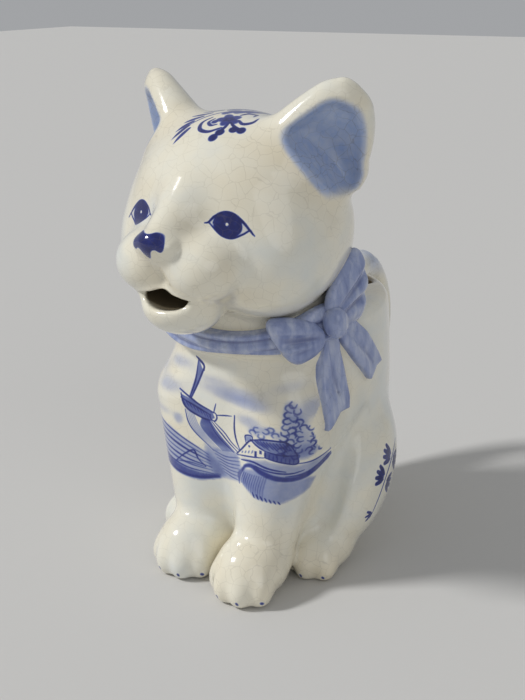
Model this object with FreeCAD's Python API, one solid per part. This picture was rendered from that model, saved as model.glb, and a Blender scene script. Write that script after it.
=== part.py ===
import FreeCAD, Part
import math
import os

# Seated-cat cream jug in glazed earthenware.
# Millimetres. The cat faces -Y, up is +Z, the cat's left side is +X.
# The origin is the middle of the foot, on the plane the jug stands on.

V = FreeCAD.Vector
os.makedirs("parts", exist_ok=True)

# ---------------------------------------------------------------- driving dimensions
WALL = 4.0                 # thickness of the cast shell
NECK_WALL = 5.0            # thickness round the neck channel
HEAD_WALL = 4.5            # thickness of the head
CUT_PAST = 3.0             # how far a hollow runs on past the face it opens
FOOT_THICK = 5.0           # thickness of the floor of the jug
RIM_Z = 80.0               # height of the jug's shoulder and filling rim
RIM_ROUND = 3.0            # rounding of the shoulder edge
FOOT_ROUND = 1.5           # rounding of the foot edge

# horizontal sections of the jug: height, half width, half depth, centre y
BODY = [
    (0.0, 24.0, 25.0, 19.0),
    (14.0, 29.0, 30.0, 20.0),
    (28.0, 31.0, 34.5, 21.0),
    (54.0, 32.0, 36.0, 20.5),
    (66.0, 32.0, 36.0, 20.5),
    (RIM_Z, 31.0, 34.5, 20.5),
]
FILL_CENTRE_Y = 42.0       # filling opening behind the neck
FILL_HALF_WIDTH = 18.0
FILL_HALF_DEPTH = 8.5

NECK_LOW = (72.0, 27.0, 24.0, 6.0)     # height, half width, half depth, centre y
NECK_HIGH = (95.0, 24.0, 20.5, 3.0)

SKULL_CENTRE = V(0, -2.5, 111)
SKULL_SEMI = (31.3, 27.5, 27.0)
CHEEK_CENTRE = (15.5, -10.0, 100.0)
CHEEK_SEMI = (15.8, 15.6, 15.0)
NAPE_CENTRE = V(0, 1.5, 101.5)
NAPE_SEMI = (29.5, 25.0, 17.5)
MUZZLE_CENTRE = (8.5, -29.0, 100.3)
MUZZLE_SEMI = (10.7, 11.0, 9.4)
BRIDGE_FROM = V(0, -22, 118)
BRIDGE_TO = V(0, -36, 109)
BRIDGE_RADII = (7.0, 5.0)
NOSE_CENTRE = V(0, -39.6, 108.5)
NOSE_SEMI = (4.6, 3.2, 3.4)

JAW_CENTRE = V(0, -28, 89.3)
JAW_SEMI = (12.2, 11.7, 7.0)
MOUTH_CENTRE = V(0, -33, 94.2)
MOUTH_SEMI = (9.8, 12.0, 4.8)
MOUTH_TILT = 22.0
SPOUT_RADIUS = 5.0         # channel from the head cavity to the mouth
SPOUT_START = V(0, -34.0, 94.5)
SPOUT_DIRECTION = V(0, 1, 0.28)
SPOUT_LENGTH = 32.0

EAR_ROOT = V(21.2, 0.8, 124.5)
EAR_TIP = V(32.0, 2.0, 146.0)
EAR_FACING = 45.0          # degrees outward from straight ahead
EAR_HALF_WIDTH = 17.5      # at the root
EAR_HALF_DEPTH = 11.5      # at the root
EAR_TIP_HALF = 3.6
EAR_RIM = 3.2              # width of the rolled rim round the ear's hollow
EAR_SHELL_AT = (0.0, 0.2, 0.5, 0.75, 0.92)     # where the ear's sections are, as shares of its length
EAR_HOLLOW_AT = (0.1, 0.25, 0.5, 0.75, 0.9)

LEG_TOP = (14.0, -2.2, 53.0)
LEG_FOOT = (12.0, -8.5, 12.0)
LEG_RADII = (14.2, 9.0)
PAW_LEFT = V(13.3, -17.8, 8.0)
PAW_RIGHT = V(-10.6, -14.0, 8.0)
PAW_SEMI = (11.0, 13.0, 9.8)

HAUNCH_CENTRE = (23.5, 20.0, 27.0)
HAUNCH_SEMI = (14.0, 17.0, 26.0)
HAUNCH_TILT = -35.0
HIND_PAW_CENTRE = (23.5, 6.0, 7.0)
HIND_PAW_SEMI = (9.4, 13.2, 8.2)

# centre line of the tail that makes the handle: y, z, radius
TAIL = [
    (54.0, 72.5, 6.0),
    (60.5, 77.6, 5.2),
    (68.5, 78.2, 4.7),
    (76.0, 72.0, 4.5),
    (80.5, 61.0, 4.5),
    (79.0, 48.0, 4.7),
    (72.0, 34.0, 5.2),
    (61.0, 22.0, 6.0),
    (48.0, 14.0, 7.0),
]

RIBBON_CENTRE = V(0, 6.5, 81.8)
RIBBON_HALF_WIDTH = 28.6
RIBBON_HALF_DEPTH = 25.6
RIBBON_TALL = 7.5
RIBBON_THICK = 3.4
RIBBON_TILT = 12.0
RIBBON_ROUND = 1.2

KNOT_CENTRE = V(31.3, -1.4, 82.0)
KNOT_SEMI = (4.0, 4.1, 5.4)
FRONT_LOOP_CENTRE = V(25.3, -11.8, 78.7)
FRONT_LOOP_SEMI = (9.4, 4.6, 7.0)
FRONT_LOOP_TURN = 55.0
FRONT_LOOP_OPENING = V(-3.4, -4.8, 0.8)        # which way, and how far, the loop's hollow is shifted
REAR_LOOP_CENTRE = V(30.2, 7.8, 88.5)
REAR_LOOP_SEMI = (4.8, 11.0, 8.8)
REAR_LOOP_LIFT = 28.0
REAR_LOOP_OPENING = V(0.8, 4.2, 2.6)
LOOP_CLOTH = 2.2           # thickness of the loops' cloth

# each hanging end: top point, bottom point, half widths, thickness
FRONT_TAIL = (V(29.4, 0.6, 78.0), V(30.2, 2.6, 49.5), 2.8, 5.0)
REAR_TAIL = (V(31.2, 4.6, 79.5), V(32.6, 18.6, 62.0), 3.0, 4.4)
HANGING_THICK = 4.2


# ---------------------------------------------------------------- helpers
def ellipsoid(centre, semi, axis=None, degrees=0.0):
    scale = FreeCAD.Matrix()
    scale.scale(semi[0], semi[1], semi[2])
    shape = Part.makeSphere(1.0).transformGeometry(scale)
    if axis is not None:
        shape.rotate(V(0, 0, 0), axis, degrees)
    shape.translate(centre)
    return shape


def ellipse_wire(centre, across, up, half_across, half_up):
    """Closed ellipse in the plane of the two given directions."""
    if half_across >= half_up:
        major, minor, big, small = across, up, half_across, half_up
    else:
        major, minor, big, small = up, across, half_up, half_across
    far = centre + major * big
    side = centre + minor * small
    return Part.Wire([Part.Ellipse(far, side, centre).toShape()])


def level_ellipse(z, half_width, half_depth, centre_y):
    return ellipse_wire(V(0, centre_y, z), V(1, 0, 0), V(0, 1, 0), half_width, half_depth)


def level_loft(sections):
    return Part.makeLoft([level_ellipse(*s) for s in sections], True, False)


def limb(start, end, radius_start, radius_end):
    axis = end - start
    cone = Part.makeCone(radius_start, radius_end, axis.Length, start, axis)
    first = Part.makeSphere(radius_start, start)
    last = Part.makeSphere(radius_end, end)
    return cone.fuse([first, last]).removeSplitter()


def mirrored(shape):
    return shape.mirror(V(0, 0, 0), V(1, 0, 0))


def biggest(shape):
    """The largest solid of a shape, so that no crumbs are left by a cut."""
    return max(shape.Solids, key=lambda s: s.Volume)


def trimmed(shape, tools):
    """The shape with each tool cut away in turn."""
    for tool in tools:
        shape = biggest(shape.cut(tool))
    return shape


def above_ground(shape):
    slab = Part.makeBox(300, 300, 60, V(-150, -150, -60))
    return biggest(shape.cut(slab))


# ---------------------------------------------------------------- outer volumes
body_outer = level_loft(BODY)
edges = [e for e in body_outer.Edges if abs(e.CenterOfMass.z - RIM_Z) < 0.5 and e.Length > 100]
body_outer = body_outer.makeFillet(RIM_ROUND, edges[:1])

neck_outer = biggest(level_loft([NECK_LOW, NECK_HIGH]).cut(body_outer))

skull = ellipsoid(SKULL_CENTRE, SKULL_SEMI)
head_parts = [ellipsoid(NAPE_CENTRE, NAPE_SEMI), ellipsoid(NOSE_CENTRE, NOSE_SEMI)]
head_parts.append(limb(BRIDGE_FROM, BRIDGE_TO, *BRIDGE_RADII))
for side in (1, -1):
    x, y, z = CHEEK_CENTRE
    head_parts.append(ellipsoid(V(side * x, y, z), CHEEK_SEMI))
    x, y, z = MUZZLE_CENTRE
    head_parts.append(ellipsoid(V(side * x, y, z), MUZZLE_SEMI))
head_outer = skull.fuse(head_parts)
neck_outer = biggest(neck_outer.cut(head_outer))

# ---------------------------------------------------------------- the hollow inside
inner = []
for z, half_width, half_depth, centre_y in BODY:
    level = min(max(z, FOOT_THICK), RIM_Z - WALL)
    inner.append((level, half_width - WALL, half_depth - WALL, centre_y))
jug_hollow = level_loft(inner)
neck_channel = level_loft([
    (RIM_Z - WALL - CUT_PAST, NECK_LOW[1] - NECK_WALL, NECK_LOW[2] - NECK_WALL, NECK_LOW[3]),
    (NECK_HIGH[0] + CUT_PAST, NECK_HIGH[1] - NECK_WALL, NECK_HIGH[2] - NECK_WALL, NECK_HIGH[3]),
])
head_hollow = ellipsoid(SKULL_CENTRE, tuple(s - HEAD_WALL for s in SKULL_SEMI))
mouth = ellipsoid(MOUTH_CENTRE, MOUTH_SEMI, V(1, 0, 0), MOUTH_TILT)
spout = Part.makeCylinder(SPOUT_RADIUS, SPOUT_LENGTH, SPOUT_START, SPOUT_DIRECTION)
fill = level_loft([
    (RIM_Z - WALL - CUT_PAST, FILL_HALF_WIDTH, FILL_HALF_DEPTH, FILL_CENTRE_Y),
    (RIM_Z + CUT_PAST, FILL_HALF_WIDTH, FILL_HALF_DEPTH, FILL_CENTRE_Y),
])

# ---------------------------------------------------------------- shells
jug_body = trimmed(body_outer, [jug_hollow, neck_channel, fill])
neck = trimmed(neck_outer, [neck_channel, head_hollow])
head = trimmed(head_outer, [neck_channel, head_hollow, spout, mouth])
jaw_outer = ellipsoid(JAW_CENTRE, JAW_SEMI)
lower_jaw = trimmed(jaw_outer, [head_outer, neck_outer, mouth, spout])

solids = {"jug_body": jug_body, "neck": neck, "head": head, "lower_jaw": lower_jaw}

# ---------------------------------------------------------------- ears
along = (EAR_TIP - EAR_ROOT).normalize()
ear_length = (EAR_TIP - EAR_ROOT).Length
facing = math.radians(EAR_FACING)
front = V(math.sin(facing), -math.cos(facing), 0)
front = (front - along * front.dot(along)).normalize()
across = along.cross(front)


def ear_wire(share, half_width, half_depth, shift):
    centre = EAR_ROOT + along * (ear_length * share) + front * shift
    return ellipse_wire(centre, across, front, half_width, half_depth)


def ear_sizes(share):
    left = max(1.0 - share, 0.0)
    half_width = (EAR_HALF_WIDTH - EAR_TIP_HALF) * left ** 0.8 + EAR_TIP_HALF
    half_depth = (EAR_HALF_DEPTH - EAR_TIP_HALF) * left + EAR_TIP_HALF * 0.9
    return half_width, half_depth


root_width, root_depth = ear_sizes(0.0)
shell_wires = [ear_wire(-0.12, root_width * 0.8, root_depth * 0.8, 0.0)]
for share in EAR_SHELL_AT:
    half_width, half_depth = ear_sizes(share)
    shell_wires.append(ear_wire(share, half_width, half_depth, 0.0))
shell_wires.append(ear_wire(1.05, EAR_TIP_HALF * 0.8, EAR_TIP_HALF * 0.6, 0.0))
hollow_wires = []
for share in EAR_HOLLOW_AT:
    half_width, half_depth = ear_sizes(share)
    width = max(half_width - EAR_RIM, 0.8)
    hollow_wires.append(ear_wire(share, width, half_depth * 0.9, half_depth * 0.95))
ear = Part.makeLoft(shell_wires, True, False).cut(Part.makeLoft(hollow_wires, True, False))
left_ear = biggest(ear.cut(head_outer))
solids["left_ear"] = left_ear
solids["right_ear"] = mirrored(left_ear)

# ---------------------------------------------------------------- legs, paws, haunches
for name, side, paw_centre in (("left", 1, PAW_LEFT), ("right", -1, PAW_RIGHT)):
    paw = above_ground(ellipsoid(paw_centre, PAW_SEMI))
    paw = biggest(paw.cut(body_outer))
    top = V(side * LEG_TOP[0], LEG_TOP[1], LEG_TOP[2])
    foot = V(side * LEG_FOOT[0], LEG_FOOT[1], LEG_FOOT[2])
    leg = trimmed(limb(top, foot, *LEG_RADII), [body_outer, paw])
    x, y, z = HIND_PAW_CENTRE
    hind = above_ground(ellipsoid(V(side * x, y, z), HIND_PAW_SEMI))
    hind = trimmed(hind, [body_outer, leg, paw])
    x, y, z = HAUNCH_CENTRE
    haunch = ellipsoid(V(side * x, y, z), HAUNCH_SEMI, V(1, 0, 0), HAUNCH_TILT)
    haunch = trimmed(above_ground(haunch), [body_outer, leg, paw, hind])
    solids[name + "_front_leg"] = leg
    solids[name + "_front_paw"] = paw
    solids[name + "_haunch"] = haunch
    solids[name + "_hind_paw"] = hind
# the two front legs and the two front paws touch on the middle plane
for kind in ("_front_leg", "_front_paw"):
    tools = [solids["left_front_leg"], solids["left_front_paw"]]
    solids["right" + kind] = trimmed(solids["right" + kind], tools)

# ---------------------------------------------------------------- tail handle
tail_wires = []
for i, (y, z, radius) in enumerate(TAIL):
    before = TAIL[max(i - 1, 0)]
    after = TAIL[min(i + 1, len(TAIL) - 1)]
    direction = V(0, after[0] - before[0], after[1] - before[1]).normalize()
    tail_wires.append(Part.Wire([Part.makeCircle(radius, V(0, y, z), direction)]))
tail = Part.makeLoft(tail_wires, True, False)
solids["tail_handle"] = trimmed(tail, [body_outer, fill])

# ---------------------------------------------------------------- ribbon and bow
outer_ring = level_loft([
    (-RIBBON_TALL / 2, RIBBON_HALF_WIDTH + RIBBON_THICK / 2, RIBBON_HALF_DEPTH + RIBBON_THICK / 2, 0),
    (RIBBON_TALL / 2, RIBBON_HALF_WIDTH + RIBBON_THICK / 2, RIBBON_HALF_DEPTH + RIBBON_THICK / 2, 0),
])
edges = [e for e in outer_ring.Edges if e.Length > 100 and len(e.Vertexes) < 2]
outer_ring = outer_ring.makeFillet(RIBBON_ROUND, edges)
inner_ring = level_loft([
    (-RIBBON_TALL, RIBBON_HALF_WIDTH - RIBBON_THICK / 2, RIBBON_HALF_DEPTH - RIBBON_THICK / 2, 0),
    (RIBBON_TALL, RIBBON_HALF_WIDTH - RIBBON_THICK / 2, RIBBON_HALF_DEPTH - RIBBON_THICK / 2, 0),
])
ribbon_block = outer_ring.copy()
for ring in (outer_ring, inner_ring, ribbon_block):
    ring.rotate(V(0, 0, 0), V(1, 0, 0), RIBBON_TILT)
    ring.translate(RIBBON_CENTRE)
solids["neck_ribbon"] = trimmed(outer_ring, [inner_ring, body_outer, neck_outer, head_outer, jaw_outer])

core = [body_outer, neck_outer, head_outer, jaw_outer, ribbon_block]
knot = ellipsoid(KNOT_CENTRE, KNOT_SEMI)
solids["bow_knot"] = trimmed(knot, core)


def cloth_loop(centre, semi, axis, degrees, opening):
    """A puffed loop with a shallow hollow where the cloth turns back."""
    outside = ellipsoid(centre, semi, axis, degrees)
    small = tuple(max(s - LOOP_CLOTH, 1.0) for s in semi)
    inside = ellipsoid(centre + opening, small, axis, degrees)
    return outside.cut(inside)


front_loop = cloth_loop(FRONT_LOOP_CENTRE, FRONT_LOOP_SEMI, V(0, 0, 1), FRONT_LOOP_TURN, FRONT_LOOP_OPENING)
solids["bow_front_loop"] = trimmed(front_loop, core + [knot])
rear_loop = cloth_loop(REAR_LOOP_CENTRE, REAR_LOOP_SEMI, V(1, 0, 0), REAR_LOOP_LIFT, REAR_LOOP_OPENING)
solids["bow_rear_loop"] = trimmed(rear_loop, core + [knot])


def hanging_end(top, bottom, half_top, half_bottom):
    """A flat tapered strip lying on the shoulder, with a slanted lower end."""
    down = (bottom - top).normalize()
    middle = (top + bottom) * 0.5
    outward = V(middle.x, middle.y - BODY[4][3], 0)
    outward = (outward - down * outward.dot(down)).normalize()
    sideways = down.cross(outward)
    wires = []
    for centre, half in ((top, half_top), (middle, (half_top + half_bottom) / 2), (bottom, half_bottom)):
        wires.append(ellipse_wire(centre, sideways, outward, half, HANGING_THICK / 2))
    return Part.makeLoft(wires, True, False)


core.append(knot)
front_end = hanging_end(*FRONT_TAIL)
rear_end = hanging_end(*REAR_TAIL)
blocks = core + [front_loop, rear_loop]
solids["ribbon_front_end"] = trimmed(front_end, blocks)
solids["ribbon_rear_end"] = trimmed(rear_end, blocks + [front_end])

# ---------------------------------------------------------------- files
for name, shape in solids.items():
    shape.exportStep("parts/" + name + ".step")
    box = shape.optimalBoundingBox()
    print(name, shape.isValid(), len(shape.Solids), round(shape.Volume / 1000.0, 2),
          [round(v, 1) for v in (box.XMin, box.XMax, box.YMin, box.YMax, box.ZMin, box.ZMax)])
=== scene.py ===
"""Looks of the seated-kitten cream jug: one smooth glazed skin, cut into the CAD's pieces and painted.

The shape is a signed distance field in millimetres, placed from the boxes of the CAD nodes. It is meshed
once, pulled onto the field, refined where brushwork is fine, and cut into one closed mesh for each node.
The cobalt painting is a set of brush strokes, worked out at the mesh points and kept as attributes.
"""

import math

import bpy
import numpy as np
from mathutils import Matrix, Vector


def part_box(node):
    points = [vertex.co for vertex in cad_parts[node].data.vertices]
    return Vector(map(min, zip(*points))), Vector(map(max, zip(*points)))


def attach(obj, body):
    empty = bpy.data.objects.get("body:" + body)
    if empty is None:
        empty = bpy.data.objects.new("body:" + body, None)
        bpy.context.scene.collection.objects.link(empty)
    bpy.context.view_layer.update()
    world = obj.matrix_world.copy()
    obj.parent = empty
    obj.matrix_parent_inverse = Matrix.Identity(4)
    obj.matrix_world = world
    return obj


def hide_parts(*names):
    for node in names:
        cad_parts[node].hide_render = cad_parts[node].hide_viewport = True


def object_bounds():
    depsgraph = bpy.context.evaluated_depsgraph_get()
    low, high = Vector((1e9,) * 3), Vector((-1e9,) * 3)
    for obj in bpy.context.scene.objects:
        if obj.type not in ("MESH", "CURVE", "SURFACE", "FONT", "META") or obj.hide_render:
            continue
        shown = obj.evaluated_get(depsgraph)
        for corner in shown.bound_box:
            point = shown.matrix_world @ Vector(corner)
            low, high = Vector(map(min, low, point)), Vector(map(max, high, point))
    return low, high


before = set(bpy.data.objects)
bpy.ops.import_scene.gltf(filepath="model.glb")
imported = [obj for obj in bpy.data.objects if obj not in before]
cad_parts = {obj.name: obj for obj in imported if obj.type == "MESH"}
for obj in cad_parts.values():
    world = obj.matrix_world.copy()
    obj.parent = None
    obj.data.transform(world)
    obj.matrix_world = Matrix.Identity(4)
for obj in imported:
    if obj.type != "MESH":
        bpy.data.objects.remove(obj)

import openvdb
from mathutils import Quaternion, Vector

CAD_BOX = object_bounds()
MM = 0.001
GRID = 0.8          # mesh size of the skin, mm
FINE_GRID = 0.42    # mesh size of the ribbon and bow, mm
TOOL_GRID = 1.3                            # mesh size of the cutting tools, mm


# ---- places, from the CAD
def box_mm(node):
    low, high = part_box(node)
    return np.array(low) / MM, np.array(high) / MM


HEAD_LOW, HEAD_HIGH = box_mm("head")
BODY_LOW, BODY_HIGH = box_mm("jug_body")
SKULL = np.array([0.0, HEAD_LOW[1] + 40.3, HEAD_HIGH[2] - 27.0])
AXIS_Y = (BODY_LOW[1] + BODY_HIGH[1]) / 2
RIM_Z = BODY_HIGH[2]
EAR_HIGH = box_mm("left_ear")[1]
PAWS = {side: sum(box_mm(side + "_front_paw")) / 2 for side in ("left", "right")}
HIND_LOW, HIND_HIGH = box_mm("left_hind_paw")
HIND_PAW = np.array([HIND_HIGH[0] - 9.4, HIND_LOW[1] + 13.2, HIND_HIGH[2] - 8.0])
HAUNCH_LOW, HAUNCH_HIGH = box_mm("left_haunch")
HAUNCH = np.array([HAUNCH_HIGH[0] - 14.0, (HAUNCH_LOW[1] + HAUNCH_HIGH[1]) / 2, HAUNCH_HIGH[2] - 19.5])
LEG_TOP_Z = box_mm("left_front_leg")[1][2] - 9.7
TAIL_HIGH = box_mm("tail_handle")[1]
RIBBON = sum(box_mm("neck_ribbon")) / 2
KNOT = sum(box_mm("bow_knot")) / 2
FRONT_LOOP = sum(box_mm("bow_front_loop")) / 2
REAR_LOOP = sum(box_mm("bow_rear_loop")) / 2
FRONT_END = box_mm("ribbon_front_end")
REAR_END = box_mm("ribbon_rear_end")
WALL = 4.0              # thickness of the ceramic
FLOOR = 5.0             # thickness of the jug's floor


# ---- distance-field kit
def turn(axis, degrees):
    """Rotation matrix about one of the axes 0, 1, 2."""
    c, s = math.cos(math.radians(degrees)), math.sin(math.radians(degrees))
    i, j = [(1, 2), (2, 0), (0, 1)][axis]
    m = np.eye(3)
    m[i, i] = m[j, j] = c
    m[i, j], m[j, i] = -s, s
    return m


def ellipsoid(p, centre, semi, rotation=None):
    """Signed distance, near enough, to an ellipsoid with the given half axes."""
    q = p - np.asarray(centre, np.float32)
    if rotation is not None:
        q = q @ rotation.astype(np.float32)
    semi = np.asarray(semi, np.float32)
    near = np.linalg.norm(q / semi, axis=1)
    slope = np.linalg.norm(q / (semi * semi), axis=1)
    return near * (near - 1) / np.maximum(slope, 1e-9)


def join(a, b, soft):
    """Union with a fillet about as wide as soft."""
    h = np.maximum(soft - np.abs(a - b), 0) / soft
    return np.minimum(a, b) - h * h * soft * 0.25


def common(a, b, soft):
    """Intersection with a rounded edge."""
    return -join(-a, -b, soft)


def carve(a, tool, soft):
    """The first shape with the tool taken out of it."""
    return common(a, -tool, soft)


def to_line(p, start, end):
    """Where on a line each point is nearest, as a share of its length, and how far off the point is."""
    run = end - start
    t = np.clip(((p - start) @ run) / max(run @ run, 1e-9), 0, 1)
    return t, np.linalg.norm(p - start - t[:, None] * run, axis=1)


def limb(p, start, end, r_start, r_end):
    """A round bar, its radius changing from start to end."""
    t, away = to_line(p, np.asarray(start, np.float32), np.asarray(end, np.float32))
    return away - (r_start + (r_end - r_start) * t)


def oval(x, y, half_x, half_y):
    """Signed distance, near enough, to a tube of oval section."""
    return (np.sqrt((x / half_x) ** 2 + (y / half_y) ** 2) - 1) * np.minimum(half_x, half_y)


def spline(points, count):
    """Catmull-Rom curve through the points."""
    pts = np.asarray(points, float)
    if len(pts) == 2:
        return pts[0] + np.linspace(0, 1, count)[:, None] * (pts[1] - pts[0])
    ext = np.vstack([2 * pts[0] - pts[1], pts, 2 * pts[-1] - pts[-2]])
    s = np.linspace(0, len(pts) - 1, count)
    i = np.minimum(s.astype(int), len(pts) - 2)
    t = (s - i)[:, None]
    a, b, c, d = ext[i], ext[i + 1], ext[i + 2], ext[i + 3]
    square, cube = 2 * a - 5 * b + 4 * c - d, 3 * b - a - 3 * c + d
    return 0.5 * (2 * b + (c - a) * t + square * t ** 2 + cube * t ** 3)


def tube(p, points, count):
    """Tube round a curve of (x, y, z, radius) points."""
    path = spline(points, count)
    best = None
    for a, b in zip(path[:-1], path[1:]):
        d = limb(p, a[:3], b[:3], a[3], b[3])
        best = d if best is None else np.minimum(best, d)
    return best


def mirrored(p):
    q = p.copy()
    q[:, 0] = np.abs(q[:, 0])
    return q


def step(value, low, high):
    """0 below low, 1 above high, smooth between."""
    t = np.clip((value - low) / (high - low), 0, 1)
    return t * t * (3 - 2 * t)


# ---- the cat
def mouth_field(p):
    d = ellipsoid(p, SKULL + (0, -30, -15.9), (11.2, 11.6, 2.7), turn(0, 22))
    return join(d, throat_field(p), 1.5)


def throat_field(p):
    """The dark channel behind the lips."""
    d = ellipsoid(p, SKULL + (0, -26, -16.2), (9.2, 9.4, 3.3), turn(0, 20))
    return join(d, limb(p, SKULL + (0, -22, -15), SKULL + (0, -14, -11), 4.4, 8), 2)


def chin_field(p):
    return ellipsoid(p, SKULL + (0, -25.5, -21), (11.6, 11.3, 8.4))


def muzzle_field(p):
    left, right = (ellipsoid(p, SKULL + (x, -26.3, -9.9), (10.6, 11.2, 9.3)) for x in (8.3, -8.3))
    return join(left, right, 2.2)


def head_field(p):
    m = mirrored(p)
    d = ellipsoid(p, SKULL, (31.3, 27.5, 27))
    d = join(d, ellipsoid(p, SKULL + (0, 4, -9.5), (29.5, 25, 17.5)), 8)
    d = join(d, ellipsoid(m, SKULL + (15.5, -7.5, -11), (15.8, 15.6, 15)), 9)
    d = join(d, ellipsoid(m, SKULL + (16.2, 6.5, -3.5), (14.4, 14.4, 17)), 4)
    d = carve(join(d, chin_field(p), 2.6), mouth_field(p), 1.3)
    d = join(d, muzzle_field(p), 4)
    d = join(d, limb(p, SKULL + (0, -21.5, 7), SKULL + (0, -34.4, -2.6), 6, 5), 6)
    nose = ellipsoid(p, SKULL + (0, -37.4, -2.2), (4.6, 3.2, 3.2))
    nose = join(nose, ellipsoid(m, SKULL + (3.7, -36.4, -2.9), (2.9, 2.9, 2.3)), 1.2)
    return join(d, nose, 1.5)


EAR_ROOT = np.array([EAR_HIGH[0] - 14.3, EAR_HIGH[1] - 14.2, EAR_HIGH[2] - 23.8])
EAR_TIP = np.array([EAR_HIGH[0] - 3.7, 2, EAR_HIGH[2] - 2.1])
EAR_LONG = float(np.linalg.norm(EAR_TIP - EAR_ROOT))
EAR_UP = (EAR_TIP - EAR_ROOT) / EAR_LONG
EAR_FACING = math.radians(45)
EAR_FRONT = np.array([math.sin(EAR_FACING), -math.cos(EAR_FACING), 0])
EAR_FRONT = EAR_FRONT - EAR_UP * (EAR_FRONT @ EAR_UP)
EAR_FRONT = EAR_FRONT / np.linalg.norm(EAR_FRONT)
EAR_SIDE = np.cross(EAR_UP, EAR_FRONT)


def ear_frame(m):
    """Coordinates across, out of the hollow and along the ear, and its half width and half depth there."""
    q = m - EAR_ROOT
    x, y, z = q @ EAR_SIDE, q @ EAR_FRONT, q @ EAR_UP
    t = np.clip(z / EAR_LONG, -0.35, 1)
    up = np.maximum(t, 0)
    width = 13.2 * (1 - up ** 1.25) ** 0.9 + 4.1 + 14 * np.minimum(t, 0)
    depth = 8.5 * (1 - up) + 3.3 + 4 * np.minimum(t, 0)
    bulge = 2.7 * np.sin(np.pi * np.clip((t - 0.3) / 1.1, 0, 1)) - 2.6 * (1 - step(t, -0.15, 0.2))
    return x, y, z, np.where(x > 0, width + bulge, width), depth


def ear_cup(m):
    x, y, z, width, depth = ear_frame(m)
    inner_w, inner_d = np.maximum(width - 3.1, 0.3), np.maximum(depth * 0.95, 0.3)
    cup = common(oval(x, y - 7.6, inner_w, inner_d), 0.6 - 0.5 * x - z, 4)
    return common(cup, z - EAR_LONG + 4, 3)


def ear_field(m):
    x, y, z, width, depth = ear_frame(m)
    shell = common(oval(x, y, width, depth), z - EAR_LONG - 1.5, 5)
    return carve(shell, ear_cup(m), 1.6)


# horizontal sections of the vessel: height, half width, half depth, centre y from the axis
VESSEL = np.array([
    (0, 24, 25, -1.5),
    (14, 29, 30, -0.5),
    (28, 31, 34.5, 0.5),
    (54, 32, 36, 0),
    (66, 32, 36, 0),
    (80, 31, 34.5, 0),
])
HEIGHTS = np.linspace(0, 80, 41)
PROFILE = [np.polyval(np.polyfit(VESSEL[:, 0], VESSEL[:, i], 4), HEIGHTS) for i in (1, 2, 3)]


def vessel_wall(p):
    half_x, half_y, shift = (np.interp(p[:, 2], HEIGHTS, values) for values in PROFILE)
    return oval(p[:, 0], p[:, 1] - AXIS_Y - shift, half_x, half_y)


def fan(centre, semi, angles):
    """Points on an oval in front of the centre, at angles from straight ahead."""
    for angle in angles:
        a = math.radians(angle)
        yield angle, centre[0] + semi[0] * math.sin(a), centre[1] - semi[1] * math.cos(a)


def toes(p, paw, semi, angles, size):
    d = None
    for angle, x, y in fan(paw, semi, angles):
        toe = ellipsoid(p, (x, y, size[2] * 0.8), size, turn(2, angle))
        d = toe if d is None else join(d, toe, 1.4)
    return d


FRONT_TOES = (-54, -19, 17, 52)
HIND_TOES = (-40, 0, 40)


def front_paw(p, side):
    paw = PAWS[side]
    d = ellipsoid(p, (paw[0], paw[1] + 0.8, 8), (10.6, 12.3, 9.7))
    return join(d, toes(p, paw, (6.6, 7.8), FRONT_TOES, (4.6, 5.7, 6)), 2.4)


def hind_paw(m):
    d = ellipsoid(m, (HIND_PAW[0], HIND_PAW[1] + 0.6, 7), (8.8, 12, 8))
    return join(d, toes(m, HIND_PAW, (5.64, 7.92), HIND_TOES, (4.4, 5.6, 6.2)), 2.6)


def front_leg(p, side):
    sign = 1 if side == "left" else -1
    paw = PAWS[side]
    foot = (paw[0] - sign * 0.3, paw[1] + 7, 11)
    return limb(p, foot, (sign * 14.6, -1.6, LEG_TOP_Z - 3), 9, 14.6)


def haunch(m):
    return ellipsoid(m, HAUNCH, (14, 17, 26), turn(0, -35))


# the valley between the front leg and the thigh: x, y, z from the middle of the haunch, and radius
THIGH_CREASE = np.array([
    (9.6, -4, 23, 1.4),
    (8.6, -11, 15, 3.4),
    (6.4, -16.4, 5, 4.1),
    (4.6, -19.2, -6, 3.9),
    (2.6, -22, -15, 3.2),
]) + (*HAUNCH, 0)


def body_field(p):
    m = mirrored(p)
    d = common(vessel_wall(p), p[:, 2] - RIM_Z - 1.5, 4)
    d = join(d, haunch(m), 3)
    for side in ("left", "right"):
        d = join(d, front_leg(p, side), 4.5)
        d = join(d, front_paw(p, side), 3)
    d = carve(d, tube(m, THIGH_CREASE, 9), 2)
    d = join(d, hind_paw(m), 2.6)
    return common(d, -p[:, 2], 1.2)


# the curve of the tail: y, depth under the rim, radius
TAIL = [(0, y, RIM_Z - drop, radius) for y, drop, radius in (
    (AXIS_Y + 31, 9, 6),
    (AXIS_Y + 39.5, 2.6, 5.2),
    (TAIL_HIGH[1] - 16.5, 1.6, 4.7),
    (TAIL_HIGH[1] - 9, 8, 4.5),
    (TAIL_HIGH[1] - 4.7, 19, 4.5),
    (TAIL_HIGH[1] - 6.2, 32, 4.7),
    (TAIL_HIGH[1] - 13.5, 46, 5.2),
    (TAIL_HIGH[1] - 24.5, 58, 6),
    (TAIL_HIGH[1] - 37, 66, 7),
)]


def tail_field(p):
    squashed = p * np.array([0.82, 1, 1], np.float32)
    return tube(squashed, TAIL, 25)


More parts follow.
